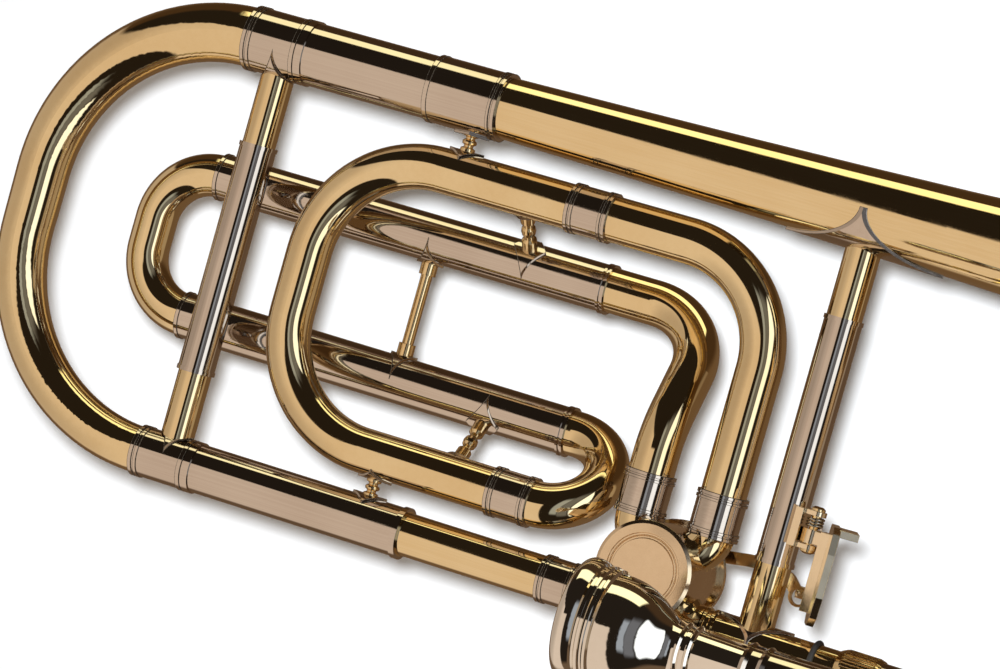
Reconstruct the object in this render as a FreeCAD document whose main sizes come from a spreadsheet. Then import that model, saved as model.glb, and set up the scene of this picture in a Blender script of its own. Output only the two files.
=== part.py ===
import FreeCAD, Part
import math
import os
import Sketcher
from FreeCAD import Placement, Rotation, Vector

# Tenor trombone with an F attachment on a rotary valve.  Millimetres.
# X runs forward (towards the bell mouth and the hand slide's bow), Y runs from the neckpipe up to
# the bell, Z runs from the bell section's plane up to the mouthpiece.  The origin is the left-hand
# grip: the point where the bell brace's axis meets the neckpipe's axis.

doc = FreeCAD.newDocument("Trombone")
sheet = doc.addObject("Spreadsheet::Sheet", "Sizes")

SIZES = {
    # bell section layout
    "leg_gap": 144.0,              # neckpipe axis to bell axis
    "bell_mouth_at": 310.0,
    "bell_rim_radius": 108.0,
    "bell_tail_at": -143.0,
    "bell_seat_end": -130.0,
    "bell_seat_radius": 10.3,
    "flare_offset": 20.5,
    "flare_power": 0.755,
    "bell_wall": 0.7,
    "rim_bead": 2.3,
    "rim_wire": 1.5,
    # main tuning slide
    "upper_outer": 10.65,
    "upper_bore": 10.03,
    "upper_inner": 9.95,
    "upper_inner_bore": 9.4,
    "lower_outer": 8.3,
    "lower_bore": 7.73,
    "lower_inner": 7.65,
    "lower_inner_bore": 7.1,
    "main_slide_mouth": -204.0,
    "upper_outer_end": -143.0,
    "lower_outer_end": -124.0,
    "bow_start": -224.0,
    "bow_turn": 62.5,              # centreline radius of each quarter of the bow
    "bow_lower_tube": 7.9,
    "bow_upper_tube": 10.2,
    "bow_wall": 0.7,
    "tuning_brace_at": -212.0,
    # gooseneck, valve and neckpipe
    "goose_end": -61.0,
    "goose_radius": 7.25,
    "tube_wall": 0.7,
    "neck_radius": 6.4,
    "neck_start": -17.0,
    "valve_x": -36.0,
    "valve_y": 13.5,
    "casing_radius": 15.8,
    "casing_bore": 14.5,
    "casing_half": 14.5,
    "rotor_radius": 14.42,
    "rotor_half": 12.8,
    "passage_wide": 5.2,
    "passage_tall": 7.2,
    "stem_radius": 4.0,
    "bearing_bore": 4.06,
    "cap_radius": 16.3,
    "cap_height": 4.6,
    "rear_flange": 17.2,
    # F attachment
    "loop_radius": 7.6,
    "port_a_x": -48.0,
    "port_b_x": -22.5,
    "port_start": 29.0,
    "port_end": 43.3,
    "loop_top": 118.6,
    "loop_bottom": 22.3,
    "loop_left": -184.0,
    "loop_join": -98.5,
    "loop_join_end": -84.0,
    "f_depth": -24.0,
    "f_upper": 95.6,
    "f_lower": 46.6,
    "f_outer": 8.0,
    "f_bore": 7.4,
    "f_inner": 7.32,
    "f_inner_bore": 6.8,
    "f_slide_mouth": -221.0,
    "f_slide_end": -86.0,
    "f_bow_start": -232.0,
    "f_bow_turn": 19.8,
    "f_brace_at": -150.5,
    # braces
    "sleeve_radius": 6.3,
    "socket_radius": 5.9,
    "sleeve_bore": 4.4,
    "flange_thick": 0.8,
    # trigger
    "axle_x": 10.4,
    "axle_z": 4.0,
    "axle_radius": 1.5,
    "barrel_radius": 3.4,
    "barrel_bore": 1.56,
    "stop_arm": 8.78,
    "link_level": -24.0,
    "link_thick": 1.8,
    "ball_y": 18.3,
    "ball_reach": 28.68,
    "trigger_half_swing": 12.5,   # degrees each side of straight down
    # hand slide
    "slide_gap": 88.0,
    "inner_radius": 7.0,
    "inner_bore": 6.6,
    "stocking_radius": 7.15,
    "outer_bore": 7.22,
    "outer_radius": 7.7,
    "inner_start": 78.0,
    "inner_end": 758.0,
    "barrel_start": 92.0,
    "outer_start": 106.0,
    "outer_end": 765.0,
    "slide_bow_tube": 8.1,
    # mouthpiece
    "mouthpiece_at": -31.5,
    "shank_tip": 51.0,
    "receiver_start": 25.0,
}

for row, (alias, value) in enumerate(SIZES.items(), start=1):
    cell = "A%d" % row
    sheet.set(cell, str(value))
    sheet.setAlias(cell, alias)
doc.recompute()


def val(alias):
    """A size from the sheet, in millimetres."""
    return float(sheet.get(alias))


def size(expression):
    """The same size as an expression that an object's property can be bound to."""
    words = []
    for word in expression.split():
        words.append("Sizes." + word if word in SIZES else word)
    return " ".join(words)


NODES = {}
ALONG_X = Rotation(Vector(0, 1, 0), 90)
ALONG_Y = Rotation(Vector(1, 0, 0), -90)
ALONG_Z = Rotation()
counter = [0]


def fresh(stem):
    """A document name that no other object has."""
    counter[0] += 1
    return "%s_%d" % (stem, counter[0])


def node(name, thing):
    """Name a finished sub-part, so that it is exported as a node of its own."""
    thing.Label = name
    NODES[name] = thing
    return thing


def place(thing, rotation, x=0.0, y=0.0, z=0.0):
    thing.Placement = Placement(Vector(x, y, z), rotation)
    return thing


# ---------------------------------------------------------------- shared ways of making a piece

def rod(radius, length):
    """A round bar along local Z, its sizes bound to the sheet."""
    bar = doc.addObject("Part::Cylinder", fresh("Rod"))
    bar.setExpression("Radius", size(radius))
    bar.setExpression("Height", size(length))
    return bar


def block(length, width, height):
    box = doc.addObject("Part::Box", fresh("Block"))
    box.setExpression("Length", size(length))
    box.setExpression("Width", size(width))
    box.setExpression("Height", size(height))
    return box


def cut(base, tool):
    result = doc.addObject("Part::Cut", fresh("Cut"))
    result.Base = base
    result.Tool = tool
    return result


def common(first, second):
    result = doc.addObject("Part::Common", fresh("Common"))
    result.Base = first
    result.Tool = second
    return result


def fuse(things):
    result = doc.addObject("Part::MultiFuse", fresh("Fuse"))
    result.Shapes = things
    return result


def group(things):
    """Separate solids that belong to one node."""
    result = doc.addObject("Part::Compound", fresh("Group"))
    result.Links = things
    return result


def tube(outer, inner, length):
    return cut(rod(outer, length), rod(inner, length))


def origin_plane(body, role):
    return next(item for item in body.Origin.OriginFeatures if item.Role == role)


def outline_sketch(body, plane, corners):
    """A closed outline whose corners are bound to the sheet, one pair of expressions a corner."""
    sketch = body.newObject("Sketcher::SketchObject", fresh("Outline"))
    sketch.AttachmentSupport = [(origin_plane(body, plane), "")]
    sketch.MapMode = "FlatFace"
    points = [Vector(doc_value(a), doc_value(b), 0) for a, b in corners]
    count = len(points)
    for index in range(count):
        sketch.addGeometry(Part.LineSegment(points[index], points[(index + 1) % count]), False)
    for index in range(count):
        sketch.addConstraint(Sketcher.Constraint("Coincident", index, 2, (index + 1) % count, 1))
    for index, (a, b) in enumerate(corners):
        for kind, expression, number in (("DistanceX", a, points[index].x), ("DistanceY", b, points[index].y)):
            if abs(number) < 1e-9:
                axis = -2 if kind == "DistanceX" else -1
                sketch.addConstraint(Sketcher.Constraint("PointOnObject", index, 1, axis))
            else:
                spot = sketch.addConstraint(Sketcher.Constraint(kind, -1, 1, index, 1, number))
                sketch.setExpression("Constraints[%d]" % spot, size(expression))
    return sketch


def doc_value(expression):
    """The number that an expression over the sheet's names stands for."""
    total = 0.0
    sign = 1.0
    for word in expression.split():
        if word == "+":
            sign = 1.0
        elif word == "-":
            sign = -1.0
        else:
            total += sign * (val(word) if word in SIZES else float(word))
            sign = 1.0
    return total


def turned(corners):
    """A lathe-turned piece: corners are (along, radius) pairs, turned about local X."""
    body = doc.addObject("PartDesign::Body", fresh("Turned"))
    sketch = outline_sketch(body, "XY_Plane", corners)
    spin = body.newObject("PartDesign::Revolution", fresh("Spin"))
    spin.Profile = sketch
    spin.ReferenceAxis = (sketch, ["H_Axis"])
    spin.Angle = 360.0
    sketch.Visibility = False
    return body


def plate(corners, thickness, plane="XY_Plane"):
    """A flat plate of an outline, padded along the plane's normal."""
    body = doc.addObject("PartDesign::Body", fresh("Plate"))
    sketch = outline_sketch(body, plane, corners)
    pad = body.newObject("PartDesign::Pad", fresh("Pad"))
    pad.Profile = sketch
    pad.setExpression("Length", size(thickness))
    return body


def route(points, radii):
    """Straight runs joined by tangent arcs, one radius at each inner point."""
    edges = []
    here = points[0]
    for index in range(1, len(points) - 1):
        before = (points[index - 1] - points[index]).normalize()
        after = (points[index + 1] - points[index]).normalize()
        half = before.getAngle(after) / 2.0
        reach = radii[index - 1] / math.tan(half)
        start = points[index] + before * reach
        end = points[index] + after * reach
        middle_way = (before + after).normalize()
        centre = points[index] + middle_way * (radii[index - 1] / math.sin(half))
        middle = centre - middle_way * radii[index - 1]
        if (start - here).Length > 1e-6:
            edges.append(Part.LineSegment(here, start).toShape())
        edges.append(Part.Arc(start, middle, end).toShape())
        here = end
    if (points[-1] - here).Length > 1e-6:
        edges.append(Part.LineSegment(here, points[-1]).toShape())
    return Part.Wire(edges)


def spine(points, radii):
    path = doc.addObject("Part::Feature", fresh("Path"))
    path.Shape = route(points, radii)
    return path


def sweep(path, first_radius, last_radius=None):
    """A round bar along a path; with two radii it tapers evenly from one end to the other."""
    wire = path.Shape
    ends = [(wire.Edges[0], wire.Edges[0].FirstParameter, first_radius)]
    if last_radius:
        last = wire.Edges[-1]
        ends.append((last, last.LastParameter, last_radius))
    sections = []
    for edge, where, radius in ends:
        ring = doc.addObject("Part::Circle", fresh("Ring"))
        ring.setExpression("Radius", size(radius))
        ring.Placement = Placement(edge.valueAt(where), Rotation(Vector(0, 0, 1), edge.tangentAt(where)))
        sections.append(ring)
    bar = doc.addObject("Part::Sweep", fresh("Sweep"))
    bar.Sections = sections
    bar.Spine = (path, ["Edge%d" % (index + 1) for index in range(len(wire.Edges))])
    bar.Solid = True
    bar.Frenet = False
    return bar


def bent_tube(points, radii, outer, inner, last_outer=None, last_inner=None):
    path = spine([Vector(*point) for point in points], radii)
    return cut(sweep(path, outer, last_outer), sweep(path, inner, last_inner))


def banded(start, end, bore, face, ring_height="0.3", ring_width="1.1"):
    """A ferrule: a sleeve with a raised double ring at each end, turned about local X."""
    crest = face + " + " + ring_height
    corners = [(start, bore), (end, bore), (end, crest), (end + " - " + ring_width, crest)]
    corners += [(end + " - " + ring_width, face), (end + " - " + ring_width + " - 0.7", face)]
    corners += [(end + " - " + ring_width + " - 0.7", crest), (end + " - " + ring_width + " - 1.5", crest)]
    corners += [(end + " - " + ring_width + " - 1.5", face), (start + " + " + ring_width + " + 1.5", face)]
    corners += [(start + " + " + ring_width + " + 1.5", crest), (start + " + " + ring_width + " + 0.7", crest)]
    corners += [(start + " + " + ring_width + " + 0.7", face), (start + " + " + ring_width, face)]
    corners += [(start + " + " + ring_width, crest), (start, crest)]
    return turned(corners)


def wrapped_kite(tube_radius, long_half, short_half, forward_drop, toward):
    """A kite-shaped saddle plate, bent round a tube along local X, facing local +Y or -Y."""
    shell = cut(rod(tube_radius + " + flange_thick", "80"), rod(tube_radius, "80"))
    place(shell, ALONG_X, -40.0)
    kite = plate([(long_half, "0.001"), ("0.001", short_half), ("0.001 - " + long_half, "0.001"),
                  ("0.001", "0.001 - " + short_half)], "30")
    place(kite, ALONG_Y if toward > 0 else Rotation(Vector(1, 0, 0), 90), forward_drop)
    return common(shell, kite)


def strut_frame(x, foot, head):
    """A frame with X along the tubes and Y from one tube's axis to the other's, for a brace."""
    start = Vector(x, foot[0], foot[1])
    way = (Vector(x, head[0], head[1]) - start)
    length = way.Length
    way.normalize()
    side = Vector(1, 0, 0).cross(way)
    return Placement(start, Rotation(Vector(1, 0, 0), way, side, "ZXY")), length


def settle(thing, frame, rotation=ALONG_Z, x=0.0, y=0.0, z=0.0):
    """Put a piece into a brace's frame."""
    thing.Placement = frame.multiply(Placement(Vector(x, y, z), rotation))
    return thing


ACROSS = Rotation(Vector(0, 0, 1), 90)      # a turned piece's X to a brace frame's Y


def strut_shaft(frame, length, corners, foot_radius, head_radius):
    """A turned piece between two tubes, its ends shaped to sit on their flanges."""
    shaft = settle(turned(corners), frame, ACROSS)
    tubes = []
    for radius, where in ((foot_radius, 0.0), (head_radius, length)):
        saddle = rod(radius + " + flange_thick", "60")
        tubes.append(settle(saddle, frame, ALONG_X, -30.0, where))
    return cut(shaft, fuse(tubes))


def strut_flanges(frame, length, foot, head):
    """The kite-shaped flanges under a brace's two ends: (tube radius, half length, half width)."""
    low = wrapped_kite(foot[0], foot[1], foot[2], 0.0, 1)
    high = wrapped_kite(head[0], head[1], head[2], 0.0, -1)
    return [settle(low, frame), settle(high, frame, ALONG_Z, 0.0, length)]


# ---------------------------------------------------------------- bell section

def bell_radius(x):
    """Outer radius of the bell's skin at a place along its axis."""
    depth = val("bell_mouth_at") - x
    offset = val("flare_offset")
    return val("bell_rim_radius") * (offset / (depth + offset)) ** val("flare_power")


def bell_skin(start, end, inside, outside, steps, bands=1):
    """A turned shell that follows the flare, between two distances from its surface, in bands along it."""
    rows = []
    for index in range(steps + 1):
        share = 1.0 - (1.0 - index / steps) ** 2
        x = start + (end - start) * share
        slope = (bell_radius(x + 0.05) - bell_radius(x - 0.05)) / 0.1
        normal = Vector(-slope, 1.0, 0.0).normalize()
        rows.append((Vector(x, bell_radius(x), 0.0), normal))
    lines = []
    ends = []
    for distance in (inside, outside):
        points = [point + normal * distance for point, normal in rows]
        ends.append((points[0], points[-1]))
        curve = Part.BSplineCurve()
        curve.interpolate(points)
        seams = [curve.parameter(points[index * steps // bands]) for index in range(bands + 1)]
        lines += [curve.toShape(low, high) for low, high in zip(seams, seams[1:])]
    (first_start, first_end), (second_start, second_end) = ends
    lines += [Part.makeLine(first_start, second_start), Part.makeLine(first_end, second_end)]
    face = Part.Face(Part.Wire(Part.__sortEdges__(lines)))
    return face.revolve(Vector(0, 0, 0), Vector(1, 0, 0), 360)


BELL_AXIS = Placement(Vector(0, val("leg_gap"), 0), Rotation())


def make_bell():
    """The spun bell, with its edge rolled back over the rim wire."""
    seat_end = val("bell_seat_end")
    wall = val("bell_wall")
    lip = val("bell_mouth_at") - 0.9
    flare = bell_skin(seat_end - 0.5, lip, -wall, 0.0, 40, 10)
    seat = Part.makeCylinder(val("bell_seat_radius"), seat_end - val("bell_tail_at"),
                             Vector(val("bell_tail_at"), 0, 0), Vector(1, 0, 0))
    bore = Part.makeCylinder(val("bell_seat_radius") - wall, seat_end - val("bell_tail_at"),
                             Vector(val("bell_tail_at"), 0, 0), Vector(1, 0, 0))
    bead_radius = val("bell_rim_radius") - val("rim_bead")
    bead_centre = Vector(val("bell_mouth_at") - val("rim_bead"), 0, 0)
    bead = Part.makeTorus(bead_radius, val("rim_bead"), bead_centre, Vector(1, 0, 0))
    wire = Part.makeTorus(bead_radius, val("rim_wire"), bead_centre, Vector(1, 0, 0))
    shape = seat.cut(bore).fuse(flare).fuse(bead).cut(wire).removeSplitter()
    bell = doc.addObject("Part::Feature", "Bell")
    bell.Shape = shape
    bell.Placement = BELL_AXIS
    node("bell", bell)
    rim = doc.addObject("Part::Torus", "RimWire")
    rim.Radius1 = bead_radius
    rim.setExpression("Radius2", size("rim_wire"))
    place(rim, ALONG_X, bead_centre.x, val("leg_gap"))
    node("bell_rim_wire", rim)


def make_main_leg_ferrules():
    """Nickel ferrules that join the bell's tail to its slide tube and the gooseneck to the valve."""
    corners = [("0", "upper_outer"), ("13", "upper_outer"), ("13", "bell_seat_radius"),
               ("26", "bell_seat_radius"), ("26", "upper_outer + 0.9"), ("24.8", "upper_outer + 0.9"),
               ("24.8", "upper_outer + 0.5"), ("24", "upper_outer + 0.5"), ("24", "upper_outer + 0.9"),
               ("23.2", "upper_outer + 0.9"), ("23.2", "upper_outer + 0.6"), ("1.5", "upper_outer + 0.6"),
               ("1.5", "upper_outer + 0.8"), ("0", "upper_outer + 0.8")]
    tail = place(turned(corners), ALONG_Z, val("upper_outer_end") - 13.0, val("leg_gap"))
    goose = banded("0", "12.6", "goose_radius", "goose_radius + 0.5", "0.3", "1")
    node("main_leg_ferrules", group([tail, place(goose, ALONG_Z, val("goose_end") - 12.6)]))


def make_main_outer_tubes():
    """The fixed tubes that the main tuning slide runs in, each with a mouth ring."""
    mouth = val("main_slide_mouth")
    corners = [("0", "upper_bore"), ("61", "upper_bore"), ("61", "upper_outer"), ("2.6", "upper_outer"),
               ("2.6", "upper_outer + 0.5"), ("0", "upper_outer + 0.5")]
    node("main_upper_outer_tube", place(turned(corners), ALONG_Z, mouth, val("leg_gap")))
    corners = [("0", "lower_bore"), ("80", "lower_bore"), ("80", "lower_outer + 0.5"),
               ("78", "lower_outer + 0.5"), ("78", "lower_outer"), ("2.6", "lower_outer"),
               ("2.6", "lower_outer + 0.5"), ("0", "lower_outer + 0.5")]
    node("main_lower_outer_tube", place(turned(corners), ALONG_Z, mouth))


def make_gooseneck():
    """Brass tube from the tuning slide's lower leg to the valve, plugged into the outer tube."""
    corners = [("0", "goose_radius - tube_wall"), ("60.6", "goose_radius - tube_wall"),
               ("60.6", "goose_radius"), ("4", "goose_radius"), ("4", "lower_bore"), ("0", "lower_bore")]
    node("gooseneck", place(turned(corners), ALONG_Z, val("lower_outer_end") - 4.0))


# ---------------------------------------------------------------- rotary valve

PORTS = {"slide": 225.0, "neck": 315.0, "loop_in": 45.0, "loop_out": 135.0}


def polar(degrees, radius, z=0.0):
    turn = math.radians(degrees)
    return (radius * math.cos(turn), radius * math.sin(turn), z)


def valve_point(degrees, radius, z=0.0):
    x, y, z = polar(degrees, radius, z)
    return (val("valve_x") + x, val("valve_y") + y, z)


def make_valve_casing():
    """The valve's drum, open at both ends, with four ports a quarter turn apart."""
    shell = tube("casing_radius", "casing_bore", "casing_half + casing_half")
    place(shell, ALONG_Z, val("valve_x"), val("valve_y"), -val("casing_half"))
    holes = []
    for degrees in PORTS.values():
        hole = rod("goose_radius - tube_wall", "casing_radius + 2")
        hole.Placement = Placement(Vector(val("valve_x"), val("valve_y"), 0),
                                   Rotation(Vector(0, 0, 1), degrees).multiply(ALONG_X))
        holes.append(hole)
    node("valve_casing", cut(shell, fuse(holes)))


def make_knuckles():
    """Four short elbows that turn the tubes into the casing's ports."""
    casing = place(rod("casing_radius", "60"), ALONG_Z, val("valve_x"), val("valve_y"), -30.0)
    x, y = val("valve_x"), val("valve_y")
    a, b = val("port_a_x"), val("port_b_x")
    middle = (val("port_start") + val("port_end")) / 2.0
    goose_meet = val("goose_end") - 6.4
    runs = [
        (valve_point(225.0, 11.0), (x - y, 0, 0), (goose_meet, 0, 0), 7.6, "goose_radius"),
        (valve_point(315.0, 11.0), (x + y, 0, 0), (val("neck_start"), 0, 0), 7.6, "goose_radius"),
        (valve_point(135.0, 9.0), (a, y + x - a, 0), (a, middle, 0), 7.8, "loop_radius"),
        (valve_point(45.0, 11.0), (b, y + b - x, 0), (b, middle, 0), 9.0, "loop_radius"),
    ]
    elbows = []
    sleeves = []
    for port in (a, b):
        sleeves.append(place(tube("loop_radius + 3", "loop_radius", "16"), ALONG_Y, port, val("port_start") - 0.02))
    envelope = fuse([casing] + sleeves)
    for start, corner, end, radius, outside in runs:
        elbow = bent_tube([start, corner, end], [radius], outside, outside + " - tube_wall")
        elbows.append(cut(elbow, envelope))
    node("valve_knuckles", group(elbows))


def make_valve_ends():
    """Front cap with its two ring grooves, and the bearing plates that carry the rotor's stem."""
    corners = [("0", "14.9"), ("1.8", "14.9"), ("1.8", "13"), ("3.2", "12.2"), ("3.2", "0"),
               ("cap_height", "0"), ("cap_height", "10.4"), ("cap_height - 0.5", "10.6"),
               ("cap_height - 0.5", "11.1"), ("cap_height - 0.1", "11.3"), ("cap_height - 0.5", "11.6"),
               ("cap_height - 0.5", "12.1"), ("cap_height - 0.1", "12.3"), ("cap_height - 0.3", "15.2"),
               ("cap_height - 1", "cap_radius"), ("0", "cap_radius")]
    stand = Rotation(Vector(0, 1, 0), -90)
    cap = place(turned(corners), stand, val("valve_x"), val("valve_y"), val("casing_half"))
    node("valve_front_cap", cap)
    front = tube("casing_bore", "bearing_bore", "1.4")
    place(front, ALONG_Z, val("valve_x"), val("valve_y"), val("casing_half") - 1.4)
    corners = [("0", "bearing_bore"), ("4", "bearing_bore"), ("4", "casing_bore"), ("2.5", "casing_bore"),
               ("2.5", "rear_flange"), ("1.6", "rear_flange"), ("1.3", "rear_flange - 0.6"),
               ("1", "rear_flange"), ("0", "rear_flange")]
    rear = place(turned(corners), stand, val("valve_x"), val("valve_y"), -val("casing_half") - 2.5)
    node("valve_bearing_plates", group([front, rear]))
    pads = []
    for degrees in (347.5, 192.5):
        x, y, z = valve_point(degrees, 9.6, -val("casing_half") - 7.0)
        pads.append(place(rod("2.5", "4.5"), ALONG_Z, x, y, z))
    node("valve_stop_bumpers", group(pads))


def oval_bar(path_shape, wide, tall):
    """A bar of oval section along a flat path."""
    edge = path_shape.Edges[0]
    way = edge.tangentAt(edge.FirstParameter)
    oval = Part.Ellipse(Vector(0, 0, 0), tall, wide).toShape()
    ring = Part.Wire([oval])
    ring.Placement = Placement(edge.valueAt(edge.FirstParameter),
                               Rotation(Vector(0, 0, 1), way.cross(Vector(0, 0, 1)), way, "ZXY"))
    return path_shape.makePipeShell([ring], True, True)


def make_rotor():
    """The turning core, with one curved passage for each pair of ports, and its stem."""
    drum = rod("rotor_radius", "rotor_half + rotor_half")
    place(drum, ALONG_Z, 0, 0, -val("rotor_half"))
    stem = place(rod("stem_radius", "casing_half + casing_half - 0.3"), ALONG_Z, 0, 0, -val("casing_half") + 0.1)
    tail = place(rod("stem_radius", "8"), ALONG_Z, 0, 0, -val("casing_half") - 4.8)
    solid = fuse([drum, stem, tail])
    tools = []
    reach = val("rotor_radius") + 1.0
    for way in (270.0, 90.0):
        turns = [math.radians(way - 45.0), math.radians(way + 45.0)]
        start = Vector(reach * math.cos(turns[0]), reach * math.sin(turns[0]), 0)
        end = Vector(reach * math.cos(turns[1]), reach * math.sin(turns[1]), 0)
        dip = reach * (math.sqrt(2.0) - 1.0)
        middle = Vector(dip * math.cos(math.radians(way)), dip * math.sin(math.radians(way)), 0)
        tool = doc.addObject("Part::Feature", fresh("Passage"))
        bend = Part.Wire([Part.Arc(start, middle, end).toShape()])
        tool.Shape = oval_bar(bend, val("passage_wide"), val("passage_tall"))
        tools.append(tool)
    rotor = cut(solid, fuse(tools))
    node("rotor", place(rotor, ALONG_Z, val("valve_x"), val("valve_y")))
    hub = place(rod("5.4", "2.4"), ALONG_Z)
    arm = plate([("0.001", "3"), ("stop_arm", "2.6"), ("stop_arm", "0.001 - 2.6"), ("0.001", "0.001 - 3")], "2.4")
    place(arm, Rotation(Vector(0, 0, 1), 135))
    eye = rod("2.9", "2.4")
    eye.Placement = Placement(Vector(*polar(135.0, val("stop_arm"))), Rotation())
    lug = plate([("0.001 - 9.8", "2.3"), ("0.001", "2.3"), ("0.001", "0.001 - 2.3"), ("0.001 - 9.8", "0.001 - 2.3")],
                "2.4")
    place(lug, Rotation(Vector(0, 0, 1), 135))
    pin = rod("1.2", "5.6")
    pin.Placement = Placement(Vector(*polar(135.0, val("stop_arm"), -3.6)), Rotation())
    head = rod("2.1", "1")
    head.Placement = Placement(Vector(*polar(135.0, val("stop_arm"), -4.6)), Rotation())
    arms = cut(fuse([hub, arm, eye, lug, pin, head]), place(rod("2", "10"), ALONG_Z, 0, 0, -5))
    node("valve_stop_arm", place(arms, ALONG_Z, val("valve_x"), val("valve_y"), -val("casing_half") - 7.2))
    screw = fuse([rod("2", "2.4"), place(rod("3", "1.3"), ALONG_Z, 0, 0, -1.3)])
    slot = place(block("7", "0.7", "0.6"), ALONG_Z, -3.5, -0.35, -1.4)
    node("stop_arm_screw", place(cut(screw, slot), ALONG_Z, val("valve_x"), val("valve_y"), -val("casing_half") - 7.2))


# ---------------------------------------------------------------- F attachment

def make_f_loop():
    """The fixed tubing of the F attachment, from the valve round to the tuning slide and back."""
    port_middle = (val("port_start") + val("port_end")) / 2.0
    join_middle = (val("loop_join") + val("loop_join_end")) / 2.0
    a, b = val("port_a_x"), val("port_b_x")
    top, bottom, left = val("loop_top"), val("loop_bottom"), val("loop_left")
    depth, upper, lower = val("f_depth"), val("f_upper"), val("f_lower")
    slide_end = val("f_slide_end")
    bore = "loop_radius - tube_wall"
    front = bent_tube([(b, port_middle, 0), (b, top, 0), (join_middle, top, 0)], [34.0], "loop_radius", bore)
    node("f_loop_front_bend", front)
    back = bent_tube([(join_middle, top, 0), (left, top, 0), (left, bottom, 0), (join_middle, bottom, 0)],
                     [38.0, 38.0], "loop_radius", bore)
    node("f_loop_back_bend", back)
    turn = math.hypot(lower - bottom, depth) / 2.0 - 0.02
    far = val("loop_join_end") - 0.1 + turn
    u_bend = bent_tube([(join_middle, bottom, 0), (far, bottom, 0), (far, lower, depth), (slide_end, lower, depth)],
                       [turn, turn], "loop_radius", bore)
    node("f_return_bend", u_bend)
    crook = bent_tube([(slide_end, upper, depth), (a, upper, depth), (a, 57.0, 0), (a, port_middle, 0)],
                      [22.0, 30.0], "loop_radius", bore)
    node("f_crook", crook)
    joins = []
    for y in (top, bottom):
        joins.append(place(banded("0", "14.5", "loop_radius", "loop_radius + 0.5"), ALONG_Z, val("loop_join"), y))
    for x in (a, b):
        ferrule = banded("0", "14.3", "loop_radius", "loop_radius + 0.6", "0.4", "1")
        joins.append(place(ferrule, ACROSS, x, val("port_start")))
    node("f_loop_ferrules", group(joins))
    outers = []
    crest = "f_outer + 0.5"
    corners = [("0", "f_bore"), ("135", "f_bore"), ("135", crest), ("134.2", crest), ("134.2", "f_outer"),
               ("133.4", "f_outer"), ("133.4", crest), ("132.6", crest), ("132.6", "f_outer"),
               ("2.2", "f_outer"), ("2.2", crest), ("0", crest)]
    for y in (upper, lower):
        outers.append(place(turned(corners), ALONG_Z, val("f_slide_mouth"), y, depth))
    node("f_outer_slide_tubes", group(outers))


def f_slide_stay():
    """The thin stay between the two outer tubes of the F tuning slide, and its two kite flanges."""
    frame, length = strut_frame(val("f_brace_at"), (val("f_lower"), val("f_depth")), (val("f_upper"), val("f_depth")))
    corners = [("7", "0"), ("42", "0"), ("42", "2.9"), ("36.5", "2.9"), ("36.5", "2"), ("12.5", "2"),
               ("12.5", "2.9"), ("7", "2.9")]
    kite = ("f_outer", "4.9", "8.2")
    return strut_shaft(frame, length, corners, "f_outer", "f_outer"), strut_flanges(frame, length, kite, kite)


POST_STATIONS = [(0.0, 2.7), (0.3, 2.5), (0.34, 1.6), (0.4, 1.6), (0.44, 2.3), (0.5, 2.5), (0.56, 2.3),
                 (0.6, 1.6), (0.66, 1.6), (0.7, 2.5), (1.0, 2.7)]


def make_posts():
    """Turned posts and a thin stay that carry the F attachment, and their kite flanges."""
    top, bottom = val("loop_top"), val("loop_bottom")
    depth = val("f_depth")
    on_loop = ("loop_radius", "6.2", "6")
    on_slide = ("f_outer", "5.8", "7.9")
    runs = [
        (-139.5, (top, 0.0), (val("leg_gap"), 0.0), on_loop, ("upper_outer + 0.6", "6.4", "2.9")),
        (-139.5, (0.0, 0.0), (bottom, 0.0), ("lower_outer", "6.2", "6"), on_loop),
        (-115.5, (val("f_upper"), depth), (top, 0.0), on_slide, on_loop),
        (-115.0, (bottom, 0.0), (val("f_lower"), depth), on_loop, on_slide),
    ]
    stay, flanges = f_slide_stay()
    posts = []
    for x, foot, head, foot_kite, head_kite in runs:
        frame, length = strut_frame(x, foot, head)
        low = doc_value(foot_kite[0]) * 0.8
        high = length - doc_value(head_kite[0]) * 0.8
        corners = [(str(low), "0"), (str(high), "0")]
        for share, radius in reversed(POST_STATIONS):
            corners.append((str(low + share * (high - low)), str(radius)))
        posts.append(strut_shaft(frame, length, corners, foot_kite[0], head_kite[0]))
        flanges += strut_flanges(frame, length, foot_kite, head_kite)
    node("f_loop_posts", group(posts + [stay]))
    node("f_loop_flanges", group(flanges))


# ---------------------------------------------------------------- bell brace and neckpipe

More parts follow.
